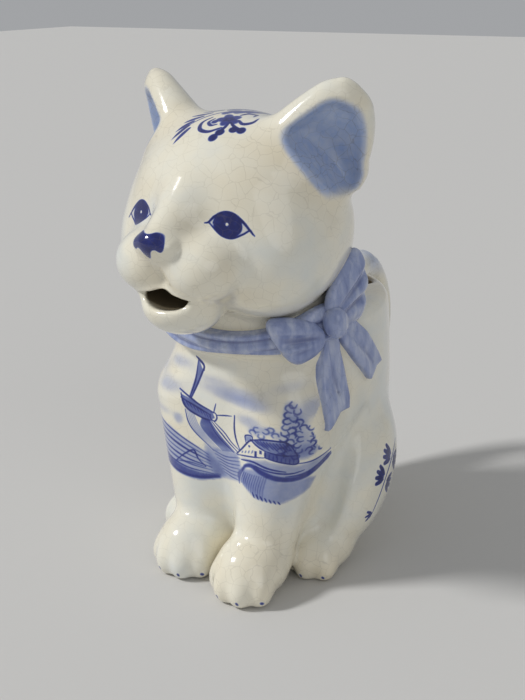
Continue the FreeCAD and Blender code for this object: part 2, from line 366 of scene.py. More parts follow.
def hollow_field(p):
    """The space inside: vessel, filling opening, neck channel, head and pouring mouth."""
    d = common(vessel_wall(p) + WALL, FLOOR - p[:, 2], 4)
    d = common(d, p[:, 2] - (RIM_Z - WALL), 3)
    opening = oval(p[:, 0], p[:, 1] - AXIS_Y - 21, 18.5, 9)
    d = join(d, common(opening, (RIM_Z - 9) - p[:, 2], 2), 2)
    d = join(d, limb(p, (0, 5, RIM_Z - 6), (0, 2, 100), 17, 15), 2)
    d = join(d, ellipsoid(p, SKULL, (26.5, 22.5, 22)), 4)
    return join(d, throat_field(p), 2)


def neck_field(p):
    return common(oval(p[:, 0], p[:, 1] - 5, 25.8, 22.6), np.abs(p[:, 2] - 84) - 12, 2)


# ---- ribbon and bow
RIBBON_LEAN = 12.0


def ribbon_frame(p):
    q = (p - RIBBON) @ turn(0, RIBBON_LEAN)
    near = np.sqrt((q[:, 0] / 28.6) ** 2 + (q[:, 1] / 25.6) ** 2)
    return q, (near - 1) * 26.5


def ribbon_field(p):
    q, out = ribbon_frame(p)
    angle = np.arctan2(q[:, 0], -q[:, 1])
    drift = 0.8 * np.sin(angle * 3.0 + 0.6)
    fold = 0.35 * np.cos((q[:, 2] + drift) * 1.75)
    flare = np.exp(-((angle - 1.3) / 0.36) ** 2)
    half = 2.4 + 2.1 * flare - 0.25 * np.sin(angle * 5)
    flat = np.maximum(np.abs(q[:, 2] - 1.2 * flare) - half, 0)
    return np.sqrt(np.maximum(np.abs(out) - 0.9 - fold, 0) ** 2 + flat ** 2) - 0.95


def knot_field(p):
    d = ellipsoid(p, KNOT + (0.1, 0, 0.2), (3.7, 3.6, 4.8), turn(0, 12))
    for shift in (-1.3, 1.4):
        start, end = KNOT + (4.2, shift * 0.5, 5.5), KNOT + (4.2, shift * 1.3, -5.5)
        d = carve(d, limb(p, start, end, 0.6, 0.8), 1.4)
    return d


def fan_field(p, centre, facing, lift, half, pinch, slant, folds):
    """A bow loop: thin and gathered at the knot, tall at its slanted free end, with folds along it."""
    q = (p - centre) @ (turn(2, facing) @ turn(1, -lift))
    length, thick, tall = half
    along = np.clip((q[:, 0] / length + 1) / 2, 0, 1)
    spread = pinch + (1 - pinch) * np.sin(along * math.pi * 0.56) ** 0.9
    near = np.sqrt((q[:, 1] / (thick * (0.62 + 0.38 * along))) ** 2 + (q[:, 2] / (tall * spread)) ** 2)
    free = (q[:, 0] - length) * math.cos(slant) - (q[:, 2] - 0.6 * tall) * math.sin(slant)
    d = common((near - 1) * thick, np.maximum(free, -q[:, 0] - length - 1), 4)
    for height, depth in folds:
        start = (-length * 0.9, thick * 0.66, height * tall * 0.3)
        end = (length * 1.2, thick * 0.9, height * tall)
        d = carve(d, limb(q, start, end, depth * 0.5, depth), 1.6)
    return d


def front_loop_field(p):
    centre = FRONT_LOOP + (-1.4, 0.9, -0.9)
    return fan_field(p, centre, 235, -3, (8, 4.7, 8), 0.5, 0.5, ((0.25, 2.5), (-0.55, 1.2)))


def rear_loop_field(p):
    centre = REAR_LOOP + (0.1, -1.5, -0.8)
    m = p * np.array([1, -1, 1], np.float32)
    flipped = centre * np.array([1, -1, 1])
    return fan_field(m, flipped, 272, 24, (9.4, 4.4, 10.8), 0.5, 0.35, ((-0.3, 1.5), (0.42, 1.2)))


def outline_gap(at, outline):
    """Signed distance in a plane to a closed outline with straight sides, negative inside."""
    outline = np.asarray(outline, float)
    gap, inside = np.full(len(at), 99), np.zeros(len(at), bool)
    for a, b in zip(outline, np.roll(outline, -1, axis=0)):
        run = b - a
        gap = np.minimum(gap, to_line(at, a, b)[1])
        crosses = (a[1] > at[:, 1]) != (b[1] > at[:, 1])
        rise = run[1] if abs(run[1]) > 1e-9 else 1e-9
        inside ^= crosses & (at[:, 0] < a[0] + run[0] * (at[:, 1] - a[1]) / rise)
    return np.where(inside, -gap, gap)


def hanging_field(p, box, outline, folds):
    """A ribbon end lying on the shoulder: an outline seen from the side, and folds pressed into it.

    Both are in (y, z) from the front top corner of the CAD node's box.
    """
    side = p[:, 1:3] - np.array([box[0][1], box[1][2]], np.float32)
    swell = np.zeros(len(p), np.float32)
    for start, end, depth in folds:
        t, away = to_line(side, np.asarray(start, float), np.asarray(end, float))
        swell -= depth * (1 - 0.6 * t) * np.exp(-(away / 1.3) ** 2)
    shoulder = join(vessel_wall(p), front_leg(p, "left"), 4.5)
    d = np.abs(shoulder - 0.6) - 1.5 - swell
    d = common(d, outline_gap(side, outline), 1)
    return common(d, -p[:, 0], 1)


def front_end_field(p):
    outline = [(2.2, -1.8), (5.8, -1.8), (7, -8), (8.3, -16), (9.2, -20.6), (9, -24.4), (4.4, -24.4),
               (-0.7, -28.6), (-1.6, -23), (-1, -18), (0.2, -12.2), (0.8, -7.2)]
    folds = (((3.6, 0), (4.6, -18), 1.3), ((6.6, -6), (7.2, -20), 0.5))
    return hanging_field(p, FRONT_END, outline, folds)


def rear_end_field(p):
    outline = [(1.2, -3), (7.4, -0.4), (12.6, -5.6), (16.4, -11), (20, -16.6), (16.6, -17.4),
               (13.8, -21), (7.4, -13.4), (3.4, -7.6)]
    folds = (((4, -2), (14.6, -15.6), 1.3), ((8.6, -3), (16, -12), 0.6))
    return hanging_field(p, REAR_END, outline, folds)


CLOTH = {
    "neck_ribbon": ribbon_field,
    "bow_knot": knot_field,
    "bow_front_loop": front_loop_field,
    "bow_rear_loop": rear_loop_field,
    "ribbon_front_end": front_end_field,
    "ribbon_rear_end": rear_end_field,
}


def skin_field(p):
    """The whole cream-coloured cat, hollow, with a soft swelling under the ribbon."""
    m = mirrored(p)
    head = join(head_field(p), ear_field(m), 5)
    body = join(body_field(p), neck_field(p), 4)
    d = join(head, body, 2.2)
    d = join(d, tail_field(p), 3.5)
    for name in ("neck_ribbon", "bow_front_loop", "bow_rear_loop", "ribbon_front_end", "ribbon_rear_end"):
        d = join(d, CLOTH[name](p) + 0.75, 1.5)
    return carve(d, hollow_field(p), 1.6)


# ---- meshing
def sample(field, low, high, cell):
    """The field on a grid, worked out in full only near the surface."""
    count = np.ceil((high - low) / cell).astype(int) + 1
    block = 4
    wide = cell * block
    axes = [low[i] + wide * np.arange(-(-count[i] // block) + 1) for i in range(3)]
    corners = np.stack(np.meshgrid(*axes, indexing="ij"), -1)
    rough = field(corners.reshape(-1, 3).astype(np.float32)).reshape(corners.shape[:3])
    near = np.abs(rough) < wide * 1.9
    nx, ny, nz = (n - 1 for n in rough.shape)
    busy = np.zeros((nx, ny, nz), bool)
    for a, b, c in np.ndindex(2, 2, 2):
        busy |= near[a:nx + a, b:ny + b, c:nz + c]

    def spread(v):
        return v.repeat(block, 0).repeat(block, 1).repeat(block, 2)[:count[0], :count[1], :count[2]]

    values = np.where(spread(rough[:-1, :-1, :-1]) > 0, wide, -wide).astype(np.float32)
    index = np.nonzero(spread(busy))
    points = (low + cell * np.stack(index, -1)).astype(np.float32)
    values[index] = in_chunks(field, points)
    return values


def in_chunks(field, points, size=300000):
    return np.concatenate([field(points[i:i + size]) for i in range(0, len(points), size)])


CORNERS = np.array([(1, -1, -1), (-1, -1, 1), (-1, 1, -1), (1, 1, 1)], np.float32)
NUDGE = 0.05


def slope(field, points):
    return sum(k * in_chunks(field, points + k * NUDGE)[:, None] for k in CORNERS) / (4 * NUDGE)


def settle(field, points, reach, rounds=2):
    """Moves points onto the zero of the field."""
    for _ in range(rounds):
        g = slope(field, points)
        move = in_chunks(field, points) / np.maximum((g * g).sum(1), 0.2)
        points = points - np.clip(move, -reach, reach)[:, None] * g
    return points


def surface(field, low, high, cell):
    """Points and triangles of the zero of the field."""
    low, high = np.asarray(low, float), np.asarray(high, float)
    grid = openvdb.FloatGrid(cell * 4)
    grid.copyFromArray(sample(field, low, high, cell))
    grid.transform = openvdb.createLinearTransform(cell)
    points, triangles, quads = grid.convertToPolygons(0.0, 0.0)
    points = settle(field, (points + low).astype(np.float32), cell)
    q = quads.astype(np.int64)
    short = np.linalg.norm(points[q[:, 0]] - points[q[:, 2]], axis=1)
    flip = short > np.linalg.norm(points[q[:, 1]] - points[q[:, 3]], axis=1)
    q[flip] = np.roll(q[flip], 1, axis=1)
    faces = np.concatenate([triangles.astype(np.int64).reshape(-1, 3), q[:, [0, 1, 2]], q[:, [0, 2, 3]]])
    return points, faces


# the triangles that take one's place, by how many of its edges are halved: corners 0-2, middles 3-5
HALVED = {
    3: ((0, 3, 5), (3, 1, 4), (5, 4, 2), (3, 4, 5)),
    1: ((0, 3, 2), (3, 1, 2)),
    2: ((3, 1, 4), (0, 3, 4), (0, 4, 2)),
}


def refine(points, faces, wanted):
    """Halves the edges that wanted(a, b) picks; neighbouring triangles stay joined."""
    edges = np.sort(np.concatenate([faces[:, [0, 1]], faces[:, [1, 2]], faces[:, [2, 0]]]), axis=1)
    keys, index = np.unique(edges[:, 0] * len(points) + edges[:, 1], return_inverse=True)
    a, b = keys // len(points), keys % len(points)
    pick = wanted(points[a], points[b])
    number = np.full(len(keys), -1)
    number[pick] = len(points) + np.arange(pick.sum())
    middle = (points[a[pick]] + points[b[pick]]) / 2
    mid = number[index].reshape(3, -1).T
    count = (mid >= 0).sum(1)
    out = [faces[count == 0]]
    for halves, patterns in HALVED.items():
        rows = np.nonzero(count == halves)[0]
        whole = mid[rows] < 0
        first = (np.argmax(whole, axis=1) + 1) % 3 if halves == 2 else np.argmax(~whole, axis=1)
        order = (first[:, None] + np.arange(3)) % 3
        six = np.concatenate([np.take_along_axis(v[rows], order, 1) for v in (faces, mid)], axis=1)
        out += [six[:, pattern] for pattern in patterns]
    return points, middle, np.concatenate(out)


def make_mesh(name, points, faces):
    """A Blender mesh from points in millimetres."""
    mesh = bpy.data.meshes.new(name)
    mesh.vertices.add(len(points))
    mesh.vertices.foreach_set("co", (points * MM).astype(np.float32).ravel())
    mesh.loops.add(len(faces) * 3)
    mesh.loops.foreach_set("vertex_index", faces.astype(np.int32).ravel())
    mesh.polygons.add(len(faces))
    mesh.polygons.foreach_set("loop_start", np.arange(len(faces), dtype=np.int32) * 3)
    mesh.update(calc_edges=True)
    mesh.validate()
    return mesh


def place(name, mesh):
    obj = bpy.data.objects.new(name, mesh)
    bpy.context.scene.collection.objects.link(obj)
    return obj


def cut(mesh, tool, operation):
    """The mesh intersected with the tool, or with the tool taken away."""
    work, other = place("work", mesh), place("tool", tool)
    boolean = work.modifiers.new("cut", "BOOLEAN")
    boolean.operation, boolean.solver, boolean.object = operation, "MANIFOLD", other
    graph = bpy.context.evaluated_depsgraph_get()
    result = bpy.data.meshes.new_from_object(work.evaluated_get(graph))
    bpy.data.objects.remove(work)
    bpy.data.objects.remove(other)
    return result


def split(mesh, tool):
    """What lies inside the tool, and the rest."""
    return cut(mesh, tool, "INTERSECT"), cut(mesh, tool, "DIFFERENCE")


# ---- cutting tools
GROW = 1.2              # how much fatter than a limb its cutting tool is, mm
SEAM_DEPTH = 1.0        # how far a limb's tool reaches into the vessel's wall, mm
COLLAR_HALF = 2.2       # half the height of the neck piece, mm


def slab(centre, axes, low, high):
    """A box in a turned frame: the rows of axes are its directions."""
    corners = np.array([(x, y, z) for x in (0, 1) for y in (0, 1) for z in (0, 1)])
    points = centre + np.where(corners, high, low) @ axes
    quads = [(0, 1, 3, 2), (4, 6, 7, 5), (0, 4, 5, 1), (2, 3, 7, 6), (0, 2, 6, 4), (1, 5, 7, 3)]
    faces = np.array([f for q in quads for f in ((q[0], q[1], q[2]), (q[0], q[2], q[3]))])
    if np.linalg.det(axes) < 0:
        faces = faces[:, ::-1]
    return make_mesh("tool", points, faces)


def tool_from(field, low, high):
    """The field's shape as a cutting tool."""
    return make_mesh("tool", *surface(field, low, high, TOOL_GRID))


def ear_tool(sign):
    flip = np.array([sign, 1, 1])
    axes = np.array([EAR_SIDE, EAR_FRONT, EAR_UP]) * flip
    return slab(EAR_ROOT * flip, axes, (-19.5, -17, 3.2), (19.5, 19, 42))


def collar_tool(rise):
    axes = turn(0, RIBBON_LEAN).T
    return slab(RIBBON, axes, (-90, -120, rise), (90, 120, 120))


# ---- painting kit
class Painting:
    """Ink laid on points of a flat chart, in mm. It also keeps how near each point is to a crisp edge."""

    def __init__(self, chart, allowed):
        self.chart = chart
        self.allowed = allowed
        self.ink = np.zeros(len(chart))
        self.edge = np.full(len(chart), 9.0)

    def near(self, outline, margin):
        low, high = np.min(outline, axis=0) - margin, np.max(outline, axis=0) + margin
        return np.nonzero(((self.chart > low) & (self.chart < high)).all(1) & self.allowed)[0]

    def lay(self, rows, gap, strength, soft):
        dose = strength * (1 - step(gap, -soft, soft))
        self.ink[rows] = 1 - (1 - self.ink[rows]) * (1 - dose)
        if soft < 0.4:
            self.edge[rows] = np.minimum(self.edge[rows], np.abs(gap))

    def stroke(self, points, width=0.5, strength=0.9, ends=(0.5, 0.4), soft=0.14):
        """A brush stroke: width in the middle, and the share of it left at each end."""
        path = spline(points, 5 * len(points))
        rows = self.near(path, width + 1)
        at = self.chart[rows]
        gap = np.full(len(rows), 9.0)
        total = len(path) - 1
        for i in range(total):
            t, away = to_line(at, path[i], path[i + 1])
            along = (i + t) / total
            share = np.where(along < 0.5, ends[0] + (1 - ends[0]) * np.sin(np.pi * along),
                             ends[1] + (1 - ends[1]) * np.sin(np.pi * along))
            gap = np.minimum(gap, away - width / 2 * share)
        self.lay(rows, gap, strength, soft)

    def strokes(self, *rows):
        """Strokes given as width, strength and then the points."""
        for width, strength, *points in rows:
            self.stroke(points, width, strength)

    def leaf(self, start, end, width, strength=0.85):
        """A stroke pressed from a point into a drop."""
        start, end = np.asarray(start, float), np.asarray(end, float)
        self.stroke([start, start + (end - start) * 0.55, end], width, strength, (0.05, 0.75))

    def fill(self, outline, strength, soft=0.15):
        """A filled shape; its sides are straight between the points."""
        outline = np.asarray(outline, float)
        rows = self.near(outline, 1.5 + soft)
        self.lay(rows, outline_gap(self.chart[rows], outline), strength, soft)

    def blot(self, centre, size, strength, angle=0, soft=0.5):
        """A round or oval spot; soft is the share of it that fades."""
        size = np.asarray(size, float)
        rows = self.near([centre], size.max() * 1.6)
        at = (self.chart[rows] - centre) @ turn(2, angle)[:2, :2]
        gap = (np.linalg.norm(at / size, axis=1) - 1) * size.min()
        self.lay(rows, gap, strength, size.min() * soft)

    def wipe(self, centre, radius):
        """A spot left bare; the eye's painted highlight is made so."""
        rows = self.near([centre], radius * 2)
        gap = np.linalg.norm(self.chart[rows] - centre, axis=1) - radius
        self.ink[rows] *= step(gap, -0.12, 0.12)
        self.edge[rows] = np.minimum(self.edge[rows], np.abs(gap))


def between(a, b, share):
    return np.asarray(a, float) * (1 - share) + np.asarray(b, float) * share


def rungs(a, b, count):
    """Evenly spaced points from a to b."""
    return [between(a, b, k / (count - 1)) for k in range(count)]


def wander(count, size):
    """Small fixed irregularities of a hand, the same each run."""
    n = np.arange(count)
    return size * np.stack([np.sin(n * 2.4 + 0.7), np.cos(n * 3.7 + 1.9)], 1)


# ---- the scene on the chest
BAND_R = 34.0       # radius that turns an angle round the vessel into millimetres


def paint_windmill(s):
    left = [(-9.9, 52), (-9, 48), (-6.8, 44.8), (-1.6, 40.4)]
    right = [(-1.6, 50), (1.4, 47), (4, 44.6), (7.4, 42.6)]
    s.fill([(-11.4, 56.4), (-8.4, 55.6), (-5.2, 54), (-1.2, 53), (-0.4, 51.4), (-2, 50.2), (-5, 50.4),
            (-9.6, 52.4)], 0.55)
    s.strokes(
        (0.55, 0.95, (-12, 57.8), (-8.4, 55.9), (-5.2, 54.2), (-0.6, 53)),
        (0.55, 0.95, (-11.2, 55.4), (-7.8, 54), (-4.8, 52.8), (-1.8, 51.9)),
        (0.55, 0.95, (-11.4, 56.6), (-9.6, 52.6), (-5, 50.4), (-1.8, 50.2)))
    for top in rungs((-10.8, 55.2), (-2.6, 52), 9):
        s.stroke([top, top + (1, -1.7)], 0.4, 0.6)
    s.stroke([(-1.8, 52.9), (-0.2, 52.9), (0.3, 51.5), (-0.6, 50.3), (-1.9, 50.8), (-1.9, 52.2)], 0.45, 0.9)
    s.fill([(-8.9, 56), (-7.9, 56), (-4.6, 65.4), (-6.4, 68.4)], 0.5)
    s.strokes(
        (0.5, 0.95, (-8.6, 55.9), (-7.4, 61.5), (-6.4, 68.2)),
        (0.6, 0.95, (-8.2, 55.9), (-6.2, 61.2), (-4.3, 65.4), (-4.2, 66.4)),
        (0.8, 0.95, (-7.4, 68.6), (-6, 68), (-4.2, 66.8), (-4, 65.2)),
        (0.4, 0.9, (-0.8, 52.8), (0.1, 56)),
        (0.4, 0.9, (0.3, 52.4), (2.8, 52.9), (5.2, 53.3)),
        (0.55, 0.95, (6.2, 53.8), (6.1, 49.6), (6.7, 46.4), (7.9, 43.8)),
        (0.4, 0.8, *left),
        (0.45, 0.95, *right),
        (0.4, 0.9, (-0.6, 50), (2.6, 47.4), (5, 45), (8, 43.4)),
        (0.35, 0.8, (-2.6, 49.8), (-0.4, 46.4), (2.6, 43.8), (5.8, 42)))
    for k in range(12):
        share = k / 11
        path = [between(left[i] if i else (-6.6, 50.6), right[i], 0.36 + 0.5 * share) for i in range(4)]
        s.stroke(path, 0.5, 0.62 - 0.2 * abs(share - 0.5), (0.8, 0.3), 0.2)
    for k in range(5):
        path = [between(left[i], right[i], 0.06 + 0.055 * k) for i in range(4)]
        s.stroke(path, 0.3, 0.4, (0.6, 0.2), 0.2)


def paint_house(s):
    roof = [(11.2, 48), (14.6, 48.9), (20.7, 48.2), (22.8, 44.2), (15.1, 45.6)]
    s.fill(roof, 0.42)
    s.strokes(
        (0.5, 0.95, *roof[:2], (17.6, 48.9), (20.7, 48.1), (22.9, 44.1)),
        (0.45, 0.9, roof[3], (19, 44.6), roof[4]),
        (0.45, 0.9, roof[4], (13.2, 46.6), (11.2, 48.1)))
    eaves = rungs((15.4, 45.7), (22.2, 44.4), 11)
    for k, top in enumerate(rungs((12.4, 48.3), (20.2, 48), 11)):
        s.stroke([top, between(top, eaves[k], 0.5 + 0.35 * (k % 3) / 2)], 0.42, 0.6, (0.9, 0.2))
    wall = [(15.1, 45.4), (22.8, 44.1), (22.8, 41.6), (15.1, 43.6)]
    s.fill(wall, 0.62)
    s.strokes(
        (0.4, 0.9, wall[0], wall[3]),
        (0.45, 0.95, wall[3], (19, 42.4), wall[2], wall[1]))
    for at in rungs(wall[3], wall[2], 9):
        s.stroke([at, at + (0.1, 1.5)], 0.35, 0.45)
    s.strokes(
        (0.45, 0.95, (6.8, 42.2), (8.6, 44.4), (10.6, 47.2), (11.6, 47.9)),
        (0.4, 0.9, (9.9, 46.8), (9.7, 48.8), (11.6, 49.2), (11.8, 47.9)))
    s.fill([(9.9, 47.2), (9.8, 48.7), (11.5, 49), (11.6, 47.7)], 0.35)
    s.stroke([(7, 42), (11, 42.9), (15.1, 43.6)], 0.4, 0.85)
    s.fill([(12.4, 45), (13, 45.1), (13, 43.4), (12.4, 43.3)], 0.85)
    s.fill([(13.7, 45.6), (14.3, 45.5), (14.3, 44.5), (13.7, 44.5)], 0.8)
    for k in range(4):
        s.stroke([(8.6 + k, 43.2 + 0.3 * k), (9.0 + k, 43.9 + 0.4 * k)], 0.45, 0.45)
    s.blot((10.9, 46), (0.3, 0.3), 0.8)


def paint_trees(s):
    for row in range(9):
        height = 58.6 - 1.75 * row
        half = 0.7 + 0.62 * row
        middle = 21.2 + 0.34 * row
        count = 2 + row // 2
        shift = wander(count, 0.7)
        for k in range(count):
            centre = (middle + half * (2 * k / max(count - 1, 1) - 1), height) + shift[k]
            scribble(s, centre, 0.95, 40 * row + 110 * k, 0.5 + 0.1 * ((row + k) % 3))
        s.blot((middle, height), (half + 0.8, 1.6), 0.16, soft=0.6)
    for k in range(6):
        centre = between((11.8, 50.4), (17.6, 51.6), k / 5) + (0, 1.1 * math.sin(k * 2.2))
        scribble(s, centre, 0.85, 70 * k, 0.45)
        s.blot(centre, (1.6, 1.1), 0.12, soft=0.6)
    s.blot((25, 44.8), (2.6, 2.2), 0.3, soft=0.7)


def scribble(s, centre, radius, start, strength):
    """Most of a small loop."""
    loop = []
    for k in range(5):
        a = math.radians(start + 62 * k)
        loop.append((centre[0] + radius * math.cos(a), centre[1] + radius * 0.85 * math.sin(a)))
    s.stroke(loop, 0.5, strength, (0.7, 0.5), 0.2)


def paint_land_and_water(s):
    # the bank under the house and the tall wave beside it
    s.fill([(8.6, 41.6), (15, 42.8), (22.8, 41), (33, 41), (33.8, 38.6), (26, 37), (18.6, 37.2),
            (13.6, 39.4), (10.6, 40.8)], 0.3, 0.8)
    s.strokes(
        (0.5, 0.75, (22.8, 41.6), (27, 41.1), (31, 41.2), (34, 41.8)),
        (0.55, 0.85, (8.4, 41), (12, 41.6), (15.8, 40.4), (20, 39.4)),
        (0.45, 0.85, (12.6, 40.6), (16.4, 39.4), (21, 38.7), (24.6, 39)))
    crest = [(8.8, 37.8), (9.8, 39.6), (11.8, 40.2), (14.6, 38.7), (18.6, 37.2), (24, 36.8), (29, 37.6),
             (34.2, 39.8)]
    s.stroke(crest, 1.5, 0.8, (0.25, 0.5), 0.35)
    s.stroke([(20, 37.9), (25, 37.8), (29.6, 38.8), (34, 40.6)], 0.9, 0.7, (0.2, 0.6))
    s.fill([(8.8, 38.4), (12.4, 39.4), (18.6, 36.4), (26, 36), (28.6, 34.6), (26.6, 31.8), (19, 29.4),
            (12.8, 30.6), (8.4, 34)], 0.34, 0.7)
    feet = rungs((8, 34.2), (14.4, 30.6), 12)
    for k, top in enumerate(rungs((8.8, 37.6), (15.4, 37.6), 12)):
        path = [top, between(top, feet[k], 0.6) + (-0.3, 0), feet[k]]
        s.stroke(path, 0.4, 0.5 - 0.02 * k, (0.7, 0.3), 0.18)
    for k, at in enumerate(rungs((12.4, 30.8), (18.6, 29.2), 7)):
        s.stroke([at + (-0.5, 1.5 - 0.1 * k), at], 0.36, 0.85)
    s.stroke([(9, 38.6), (7.6, 36), (7.8, 33.4)], 1, 0.5, soft=0.3)
    # the still water on the other side, in long strokes that sink towards the middle
    s.fill([(-31, 46.2), (-22, 46.4), (-14.6, 45), (-8.4, 41.6), (-4, 39.4), (0, 36.8), (2, 33),
            (-0.6, 31), (-6, 29.6), (-13, 30.4), (-21, 32), (-31, 32.4)], 0.26, 0.8)
    for k in range(7):
        drop = 1.75 * k
        path = [(-31, 45.8 - drop), (-22, 45.9 - drop), (-15, 44.4 - drop * 0.95),
                (-8.6, 41.4 - drop * 0.8), (-3.6 + 0.2 * k, 38.6 - drop * 0.6)]
        s.stroke(path, 0.45 + 0.12 * (k % 3), 0.8 - 0.3 * (k % 2), (0.6, 0.2), 0.2)
    shore = [(-31, 34.6), (-20, 34.2), (-12, 32), (-6, 31), (-0.8, 31.8)]
    s.stroke(shore, 2.6, 0.62, (0.8, 0.4), 0.5)
    edge = [(-31, 33.2), (-20, 32.6), (-12, 31), (-6, 30.6), (-0.8, 31.6)]
    s.stroke(edge, 0.8, 0.6, (0.8, 0.3), 0.3)
    s.strokes(
        (0.45, 0.85, (-13.2, 34.4), (-10.4, 37.4), (-7.8, 39.2), (-6.6, 36.6), (-4.6, 34.4)),
        (0.4, 0.6, (-13.2, 34.4), (-9, 35), (-4.6, 34.2)))
    # the shaded path from the mill down to the water's edge
    s.fill([(-4.6, 42), (-2, 41.2), (7, 42.4), (8.4, 38.8), (7.4, 33.6), (3.4, 32.2), (-1.6, 31.2),
            (-4, 36.4)], 0.3, 0.9)
    sides = ((-1.8, 40.6), (1.4, 34)), ((2.6, 39.6), (4.4, 33.6)), ((8, 41.2), (7.4, 34))
    for path in zip(*(rungs(top, low, 7) for top, low in sides)):
        s.stroke(path, 0.36, 0.5, (0.4, 0.4), 0.18)


def paint_clouds(s):
    for centre, size, strength, angle in (
            ((4.5, 60.2), (10.5, 2.2), 0.22, -3), ((9.5, 58), (6.5, 1.6), 0.17, -6),
            ((10.6, 53.2), (3.8, 1.9), 0.2, -6), ((-15, 65), (7, 1.9), 0.17, 6),
            ((-16.2, 57.8), (6, 2.2), 0.18, 4), ((26, 57.4), (4.8, 2.8), 0.2, 10),
            ((-25, 61.4), (6.5, 1.7), 0.15, -4), ((-1, 63.6), (6, 1.2), 0.12, 0),
            ((21, 63.4), (5.4, 1.5), 0.12, 8), ((-19, 49.6), (5.5, 1.4), 0.15, 0),
            ((-12, 48.4), (1.4, 1.6), 0.24, 0)):
        s.blot(centre, size, strength, angle, 0.9)


def chest_painting(p):
    away = -(p[:, 1] - AXIS_Y)
    chart = np.stack([BAND_R * np.arctan2(p[:, 0], away), p[:, 2]], 1)
    outside = (vessel_wall(p) > -1.6) & (p[:, 2] < RIM_Z - 8) & (away > 0) & (np.abs(p[:, 0]) < 28)
    s = Painting(chart, outside)
    paint_clouds(s)
    paint_land_and_water(s)
    paint_windmill(s)
    paint_house(s)
    paint_trees(s)
    return s


# ---- face, crown, thighs, claws
FACE_R = 29.0


def face_painting(p):
    """Eyes, mirrored, on a chart of angle round the head and height above the skull's middle."""
    away = -(p[:, 1] - SKULL[1])
    chart = np.stack([FACE_R * np.abs(np.arctan2(p[:, 0], away)), p[:, 2] - SKULL[2]], 1)
    outside = (ellipsoid(p, SKULL, (28.5, 24.5, 24)) > 0) & (away > 8)
    s = Painting(chart, outside)
    top = [(10.2, 2.2), (11.8, 3.6), (14.4, 4.7), (17, 4.3), (19.4, 2.4), (21, 0.4)]
    low = [(21, 0.4), (19.2, -0.6), (16.6, -1.5), (14.2, -0.9), (12, 0.6), (10.2, 2.2)]
    iris = [(11.3, 2.2), (12.2, 3.6), (14.4, 4.6), (17, 4.2), (18.9, 2.4), (18.9, 0.2), (17, -1.3),
            (14.4, -1), (12.2, 0.4), (11.3, 2.2)]
    s.fill(spline(iris, 40), 0.97)
    s.fill(top + low[1:-1], 0.12)
    s.stroke([(9.2, 2)] + top + [(22, -0.9)], 0.8, 0.99, (0.3, 0.35))
    s.stroke([(21.6, -0.6)] + low, 0.5, 0.97, (0.5, 0.6))
    s.blot((14.8, 1.7), (2.1, 2.1), 0.8, soft=0.3)
    # painted highlight: a bare spot in the iris for the glint of light
    s.wipe((15.2, 1.8), 0.42)
    return s


def nose_painting(p):
    chart = np.stack([np.abs(p[:, 0]), p[:, 2] - SKULL[2]], 1)
    s = Painting(chart, p[:, 1] < SKULL[1] - 31)
    half = [(-0.6, 0.5), (0.8, 0.6), (2.2, 0.9), (3.8, 0.2), (4.9, -1.4), (4.9, -3), (4, -3.8), (2.8, -3.2),
            (1.7, -3.6), (0.8, -5.2), (0, -6), (-0.6, -5.6)]
    s.fill(spline(half, 44), 0.97)
    return s


CROWN = np.array([0.9, SKULL[1] - 6.7])
CROWN_TURN = 35.0


def crown_painting(p):
    """A spray of leaves with a flower, on the flat of the forehead."""
    chart = (p[:, :2] - CROWN) @ turn(2, CROWN_TURN)[:2, :2]
    s = Painting(chart, p[:, 2] > SKULL[2] + 17)
    for start, end, width in (
            ((-13.6, -4), (-9.4, -1.4), 1.5), ((-14.2, -1.6), (-9.6, 0.4), 1.4),
            ((-13.2, 0.8), (-8.4, 1.9), 1.4), ((-11, 3.2), (-5.8, 3.4), 1.4),
            ((-8.8, 5.6), (-3.4, 4.8), 1.4), ((-5.8, 7.8), (-0.4, 6.2), 1.5)):
        s.leaf(start, end, width)
    s.stroke([(-10.4, 0.2), (-6, 1.8), (-2, 2.8), (3, 3.4), (9, 4.6)], 0.6, 0.85)
    for start, end in (
            ((0.2, 1.8), (4.8, 4.2)), ((3.4, 1.6), (8.2, 4.2)), ((6.6, 2.2), (11.6, 4.6)),
            ((9.6, 3.8), (15.4, 5.2)), ((1.6, 5.4), (6.4, 7.2)), ((6, 6), (11, 7.6))):
        s.leaf(end, start, 2.4, 0.7)
    s.stroke([(-3, 0.4), (-5.8, -1.2), (-6.3, -4.4), (-4, -6.6), (-0.6, -6.4)], 1.1, 0.93, (0.4, 0.5))
    s.stroke([(-2.4, -1), (-4, -2.2), (-3.4, -4.2), (-1.8, -4.4)], 0.9, 0.9)
    s.blot((-2.4, -2.8), (0.9, 0.9), 0.9, soft=0.25)
    for k in range(5):
        a = math.radians(72 * k + 20)
        s.blot((1.4 + 1.9 * math.cos(a), -2.8 + 1.7 * math.sin(a)), (1.6, 1.2), 0.82, 72 * k + 20, 0.25)
    s.blot((1.4, -2.8), (1.2, 1.1), 0.6, soft=0.4)
    s.strokes(
        (1.2, 0.93, (4.6, -0.6), (6.8, 0.6), (8.8, -0.6), (8, -2.4)),
        (1.2, 0.93, (4, -4), (5, -6.2), (7.6, -6.4), (9.2, -4.8)))
    for centre in ((-2.8, -9.2), (-1, -8), (2.6, -8), (4.6, -8.8)):
        s.blot(centre, (1.25, 1.1), 0.98, soft=0.2)
    s.stroke([(-2.6, -9), (0, -6.8), (1.6, -4.6)], 0.9, 0.97, (0.8, 0.5))
    s.stroke([(4.4, -8.6), (2.8, -6.8), (1.8, -4.6)], 0.9, 0.97, (0.8, 0.5))
    return s


